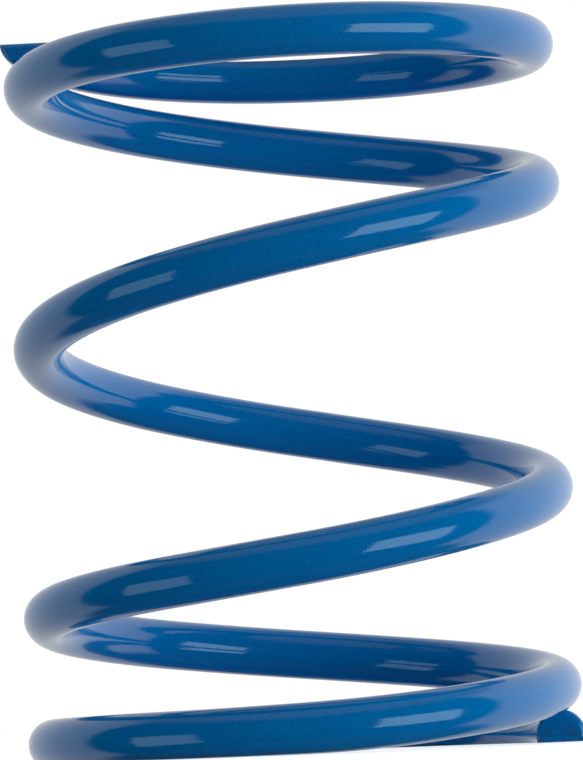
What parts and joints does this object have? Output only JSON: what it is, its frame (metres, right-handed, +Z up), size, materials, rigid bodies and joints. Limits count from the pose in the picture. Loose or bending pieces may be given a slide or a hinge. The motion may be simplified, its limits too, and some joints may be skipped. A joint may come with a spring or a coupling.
{
  "type": "compression coil spring",
  "caption": "Right-hand round-wire compression spring with closed, ground end coils and a wider pitch in its upper coils; it shortens by up to 48 mm under load.",
  "frame": {"origin": "on the spring axis, in the plane of the lower ground face", "axes": "+Z up the spring axis to the upper ground face; +X towards the lower end of the wire"},
  "size_m": [0.0787, 0.0778, 0.1016],
  "materials": {
    "blue_powder_coat": "gloss"
  },
  "bodies": {
    "lower_end_coil": {"lower_end_coil_01": "blue_powder_coat", "lower_end_coil_02": "blue_powder_coat", "lower_end_coil_03": "blue_powder_coat", "lower_end_coil_04": "blue_powder_coat", "lower_end_coil_05": "blue_powder_coat", "lower_end_coil_06": "blue_powder_coat", "lower_end_coil_07": "blue_powder_coat", "lower_end_coil_08": "blue_powder_coat", "lower_end_coil_09": "blue_powder_coat", "lower_end_coil_10": "blue_powder_coat", "lower_end_coil_11": "blue_powder_coat", "lower_end_coil_12": "blue_powder_coat", "lower_end_coil_13": "blue_powder_coat"},
    "active_coil_01": {"active_coil_01": "blue_powder_coat"},
    "active_coil_02": {"active_coil_02": "blue_powder_coat"},
    "active_coil_03": {"active_coil_03": "blue_powder_coat"},
    "active_coil_04": {"active_coil_04": "blue_powder_coat"},
    "active_coil_05": {"active_coil_05": "blue_powder_coat"},
    "active_coil_06": {"active_coil_06": "blue_powder_coat"},
    "active_coil_07": {"active_coil_07": "blue_powder_coat"},
    "active_coil_08": {"active_coil_08": "blue_powder_coat"},
    "active_coil_09": {"active_coil_09": "blue_powder_coat"},
    "active_coil_10": {"active_coil_10": "blue_powder_coat"},
    "active_coil_11": {"active_coil_11": "blue_powder_coat"},
    "active_coil_12": {"active_coil_12": "blue_powder_coat"},
    "active_coil_13": {"active_coil_13": "blue_powder_coat"},
    "active_coil_14": {"active_coil_14": "blue_powder_coat"},
    "active_coil_15": {"active_coil_15": "blue_powder_coat"},
    "active_coil_16": {"active_coil_16": "blue_powder_coat"},
    "active_coil_17": {"active_coil_17": "blue_powder_coat"},
    "active_coil_18": {"active_coil_18": "blue_powder_coat"},
    "active_coil_19": {"active_coil_19": "blue_powder_coat"},
    "active_coil_20": {"active_coil_20": "blue_powder_coat"},
    "active_coil_21": {"active_coil_21": "blue_powder_coat"},
    "active_coil_22": {"active_coil_22": "blue_powder_coat"},
    "active_coil_23": {"active_coil_23": "blue_powder_coat"},
    "active_coil_24": {"active_coil_24": "blue_powder_coat"},
    "active_coil_25": {"active_coil_25": "blue_powder_coat"},
    "active_coil_26": {"active_coil_26": "blue_powder_coat"},
    "active_coil_27": {"active_coil_27": "blue_powder_coat"},
    "active_coil_28": {"active_coil_28": "blue_powder_coat"},
    "upper_end_coil": {"upper_end_coil_01": "blue_powder_coat", "upper_end_coil_02": "blue_powder_coat", "upper_end_coil_03": "blue_powder_coat", "upper_end_coil_04": "blue_powder_coat", "upper_end_coil_05": "blue_powder_coat", "upper_end_coil_06": "blue_powder_coat", "upper_end_coil_07": "blue_powder_coat", "upper_end_coil_08": "blue_powder_coat", "upper_end_coil_09": "blue_powder_coat", "upper_end_coil_10": "blue_powder_coat", "upper_end_coil_11": "blue_powder_coat", "upper_end_coil_12": "blue_powder_coat", "upper_end_coil_13": "blue_powder_coat"}
  },
  "joints": [
    {"name": "press", "type": "slide", "parent": "lower_end_coil", "child": "upper_end_coil", "axis": [0, 0, -1], "range_m": [0, 0.048], "stiffness_N_per_m": 25400},
    {"name": "press_01", "type": "slide", "parent": "lower_end_coil", "child": "active_coil_01", "axis": [0, 0, -1], "range_m": [0, 0.00002], "stiffness_N_per_m": 500},
    {"name": "press_02", "type": "slide", "parent": "lower_end_coil", "child": "active_coil_02", "axis": [0, 0, -1], "range_m": [0, 0.000348], "stiffness_N_per_m": 500},
    {"name": "press_03", "type": "slide", "parent": "lower_end_coil", "child": "active_coil_03", "axis": [0, 0, -1], "range_m": [0, 0.00135], "stiffness_N_per_m": 500},
    {"name": "press_04", "type": "slide", "parent": "lower_end_coil", "child": "active_coil_04", "axis": [0, 0, -1], "range_m": [0, 0.00302], "stiffness_N_per_m": 500},
    {"name": "press_05", "type": "slide", "parent": "lower_end_coil", "child": "active_coil_05", "axis": [0, 0, -1], "range_m": [0, 0.005], "stiffness_N_per_m": 500},
    {"name": "press_06", "type": "slide", "parent": "lower_end_coil", "child": "active_coil_06", "axis": [0, 0, -1], "range_m": [0, 0.007], "stiffness_N_per_m": 500},
    {"name": "press_07", "type": "slide", "parent": "lower_end_coil", "child": "active_coil_07", "axis": [0, 0, -1], "range_m": [0, 0.00901], "stiffness_N_per_m": 500},
    {"name": "press_08", "type": "slide", "parent": "lower_end_coil", "child": "active_coil_08", "axis": [0, 0, -1], "range_m": [0, 0.011], "stiffness_N_per_m": 500},
    {"name": "press_09", "type": "slide", "parent": "lower_end_coil", "child": "active_coil_09", "axis": [0, 0, -1], "range_m": [0, 0.013], "stiffness_N_per_m": 500},
    {"name": "press_10", "type": "slide", "parent": "lower_end_coil", "child": "active_coil_10", "axis": [0, 0, -1], "range_m": [0, 0.015], "stiffness_N_per_m": 500},
    {"name": "press_11", "type": "slide", "parent": "lower_end_coil", "child": "active_coil_11", "axis": [0, 0, -1], "range_m": [0, 0.017], "stiffness_N_per_m": 500},
    {"name": "press_12", "type": "slide", "parent": "lower_end_coil", "child": "active_coil_12", "axis": [0, 0, -1], "range_m": [0, 0.01901], "stiffness_N_per_m": 500},
    {"name": "press_13", "type": "slide", "parent": "lower_end_coil", "child": "active_coil_13", "axis": [0, 0, -1], "range_m": [0, 0.021], "stiffness_N_per_m": 500},
    {"name": "press_14", "type": "slide", "parent": "lower_end_coil", "child": "active_coil_14", "axis": [0, 0, -1], "range_m": [0, 0.02301], "stiffness_N_per_m": 500},
    {"name": "press_15", "type": "slide", "parent": "lower_end_coil", "child": "active_coil_15", "axis": [0, 0, -1], "range_m": [0, 0.025], "stiffness_N_per_m": 500},
    {"name": "press_16", "type": "slide", "parent": "lower_end_coil", "child": "active_coil_16", "axis": [0, 0, -1], "range_m": [0, 0.02701], "stiffness_N_per_m": 500},
    {"name": "press_17", "type": "slide", "parent": "lower_end_coil", "child": "active_coil_17", "axis": [0, 0, -1], "range_m": [0, 0.029], "stiffness_N_per_m": 500},
    {"name": "press_18", "type": "slide", "parent": "lower_end_coil", "child": "active_coil_18", "axis": [0, 0, -1], "range_m": [0, 0.03101], "stiffness_N_per_m": 500},
    {"name": "press_19", "type": "slide", "parent": "lower_end_coil", "child": "active_coil_19", "axis": [0, 0, -1], "range_m": [0, 0.033], "stiffness_N_per_m": 500},
    {"name": "press_20", "type": "slide", "parent": "lower_end_coil", "child": "active_coil_20", "axis": [0, 0, -1], "range_m": [0, 0.03501], "stiffness_N_per_m": 500},
    {"name": "press_21", "type": "slide", "parent": "lower_end_coil", "child": "active_coil_21", "axis": [0, 0, -1], "range_m": [0, 0.03701], "stiffness_N_per_m": 500},
    {"name": "press_22", "type": "slide", "parent": "lower_end_coil", "child": "active_coil_22", "axis": [0, 0, -1], "range_m": [0, 0.039], "stiffness_N_per_m": 500},
    {"name": "press_23", "type": "slide", "parent": "lower_end_coil", "child": "active_coil_23", "axis": [0, 0, -1], "range_m": [0, 0.041], "stiffness_N_per_m": 500},
    {"name": "press_24", "type": "slide", "parent": "lower_end_coil", "child": "active_coil_24", "axis": [0, 0, -1], "range_m": [0, 0.04301], "stiffness_N_per_m": 500},
    {"name": "press_25", "type": "slide", "parent": "lower_end_coil", "child": "active_coil_25", "axis": [0, 0, -1], "range_m": [0, 0.04499], "stiffness_N_per_m": 500},
    {"name": "press_26", "type": "slide", "parent": "lower_end_coil", "child": "active_coil_26", "axis": [0, 0, -1], "range_m": [0, 0.04666], "stiffness_N_per_m": 500},
    {"name": "press_27", "type": "slide", "parent": "lower_end_coil", "child": "active_coil_27", "axis": [0, 0, -1], "range_m": [0, 0.04766], "stiffness_N_per_m": 500},
    {"name": "press_28", "type": "slide", "parent": "lower_end_coil", "child": "active_coil_28", "axis": [0, 0, -1], "range_m": [0, 0.04799], "stiffness_N_per_m": 500}
  ],
  "couplings": [
    {"joint": "press_01", "follows": "press", "ratio": 0.00031},
    {"joint": "press_02", "follows": "press", "ratio": 0.00714},
    {"joint": "press_03", "follows": "press", "ratio": 0.02797},
    {"joint": "press_04", "follows": "press", "ratio": 0.06281},
    {"joint": "press_05", "follows": "press", "ratio": 0.10417},
    {"joint": "press_06", "follows": "press", "ratio": 0.14583},
    {"joint": "press_07", "follows": "press", "ratio": 0.1875},
    {"joint": "press_08", "follows": "press", "ratio": 0.22917},
    {"joint": "press_09", "follows": "press", "ratio": 0.27083},
    {"joint": "press_10", "follows": "press", "ratio": 0.3125},
    {"joint": "press_11", "follows": "press", "ratio": 0.35417},
    {"joint": "press_12", "follows": "press", "ratio": 0.39583},
    {"joint": "press_13", "follows": "press", "ratio": 0.4375},
    {"joint": "press_14", "follows": "press", "ratio": 0.47917},
    {"joint": "press_15", "follows": "press", "ratio": 0.52083},
    {"joint": "press_16", "follows": "press", "ratio": 0.5625},
    {"joint": "press_17", "follows": "press", "ratio": 0.60417},
    {"joint": "press_18", "follows": "press", "ratio": 0.64583},
    {"joint": "press_19", "follows": "press", "ratio": 0.6875},
    {"joint": "press_20", "follows": "press", "ratio": 0.72917},
    {"joint": "press_21", "follows": "press", "ratio": 0.77083},
    {"joint": "press_22", "follows": "press", "ratio": 0.8125},
    {"joint": "press_23", "follows": "press", "ratio": 0.85417},
    {"joint": "press_24", "follows": "press", "ratio": 0.89583},
    {"joint": "press_25", "follows": "press", "ratio": 0.93719},
    {"joint": "press_26", "follows": "press", "ratio": 0.97203},
    {"joint": "press_27", "follows": "press", "ratio": 0.99286},
    {"joint": "press_28", "follows": "press", "ratio": 0.99969}
  ]
}
